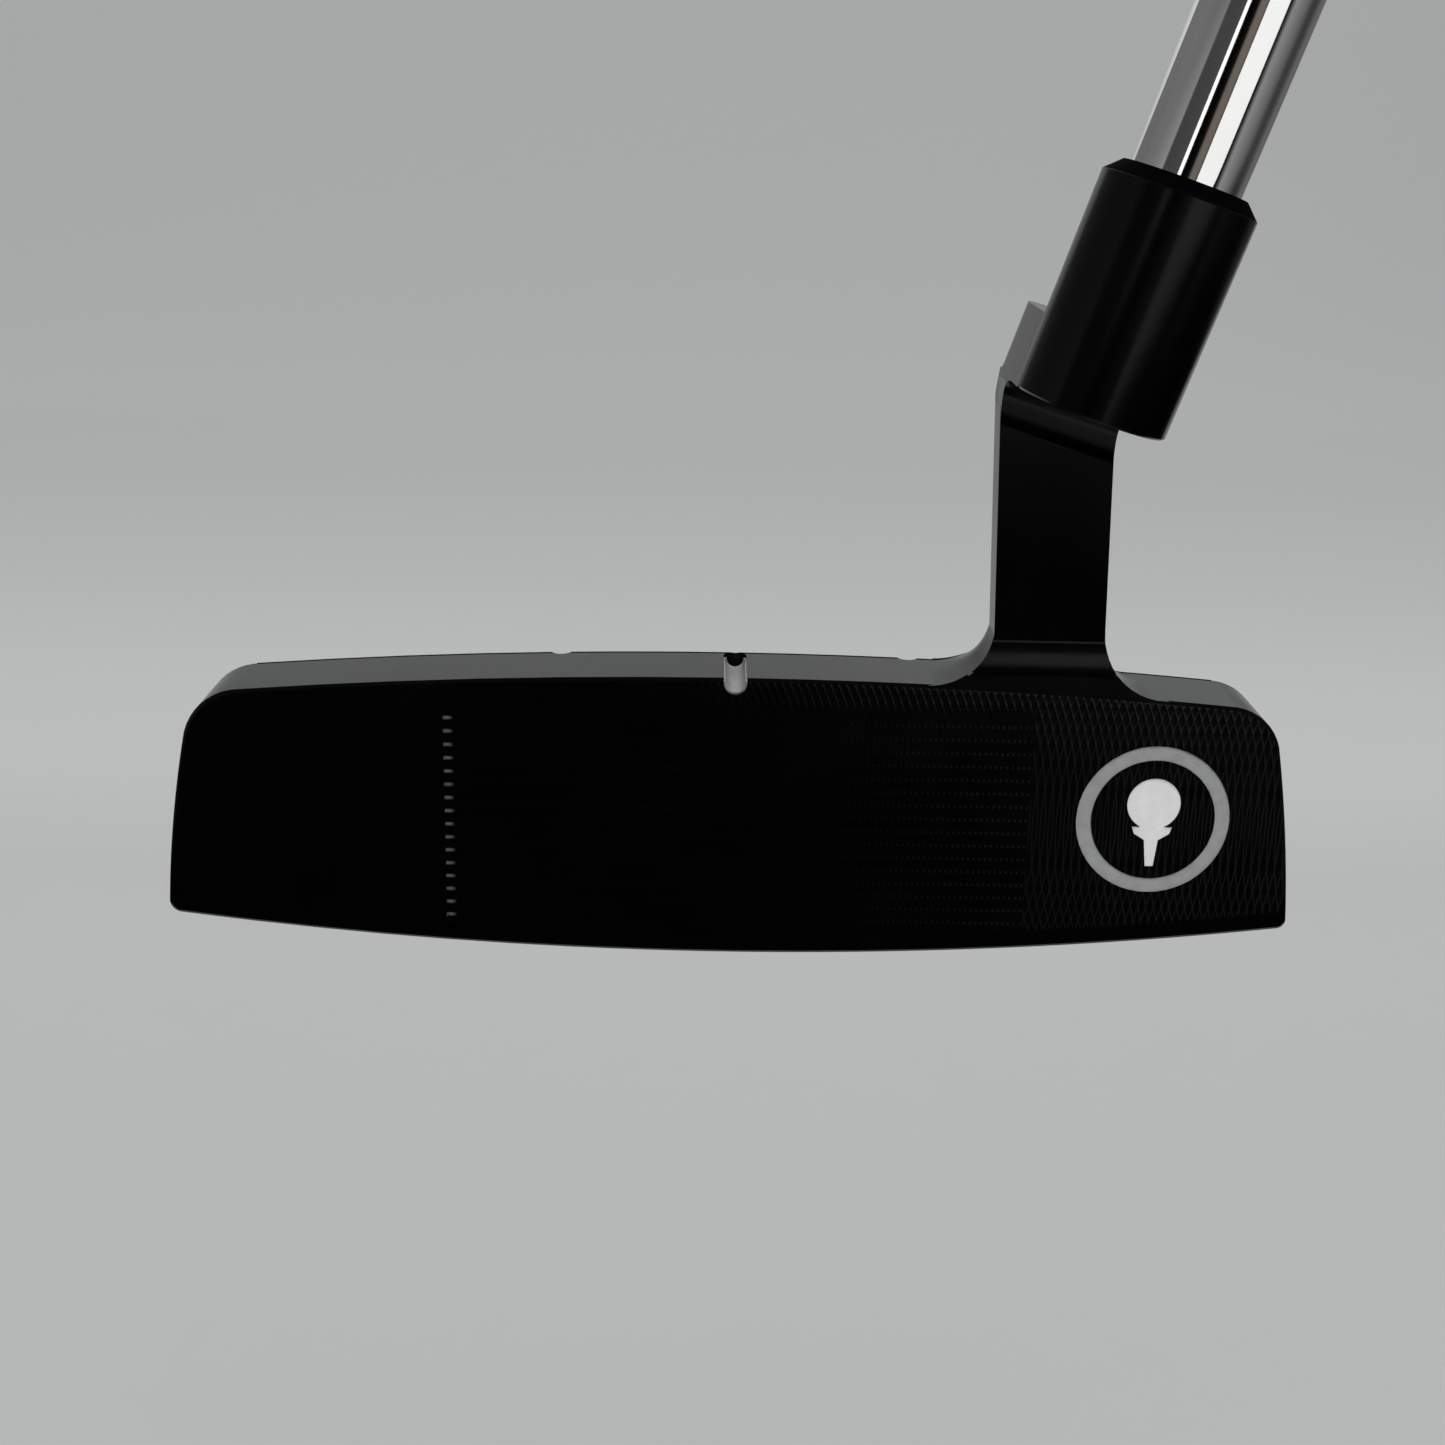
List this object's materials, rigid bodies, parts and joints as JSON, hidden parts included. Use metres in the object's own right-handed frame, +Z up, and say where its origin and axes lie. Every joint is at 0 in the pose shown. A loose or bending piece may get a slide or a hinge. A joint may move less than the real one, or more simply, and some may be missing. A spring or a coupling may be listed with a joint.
{
  "type": "blade putter",
  "caption": "Right-handed milled blade putter: one-piece black head with plumber's neck and milled face, stepped chrome shaft, pistol grip.",
  "frame": {"origin": "on the shaft axis in the middle of the grip, 130 mm from the butt end, where the club is held", "axes": "+X toe to heel, -Y the way the face looks, +Z up with the club at address: shaft at a 72 degree lie in the XZ plane"},
  "size_m": [0.3451, 0.0446, 0.8245],
  "materials": {
    "black_coat": "satin black coating on milled steel",
    "grey_paint": "satin paint",
    "ring_paint": "satin paint",
    "white_paint": "satin paint",
    "chrome_steel": "polished chrome plate on steel tube",
    "epoxy": "cured adhesive",
    "plug_plastic": "moulded",
    "tape": "double-sided paper tape",
    "grip_rubber": "matte moulded rubber with shallow tread",
    "cap_rubber": "matte moulded rubber"
  },
  "bodies": {
    "root": {"head": "black_coat", "sight_fill": "grey_paint", "emblem_ring": "ring_paint", "emblem_mark": "white_paint", "shaft": "chrome_steel", "hosel_bond": "epoxy", "tip_plug": "plug_plastic", "grip_tape": "tape", "grip": "grip_rubber", "grip_cap": "cap_rubber"}
  },
  "joints": []
}
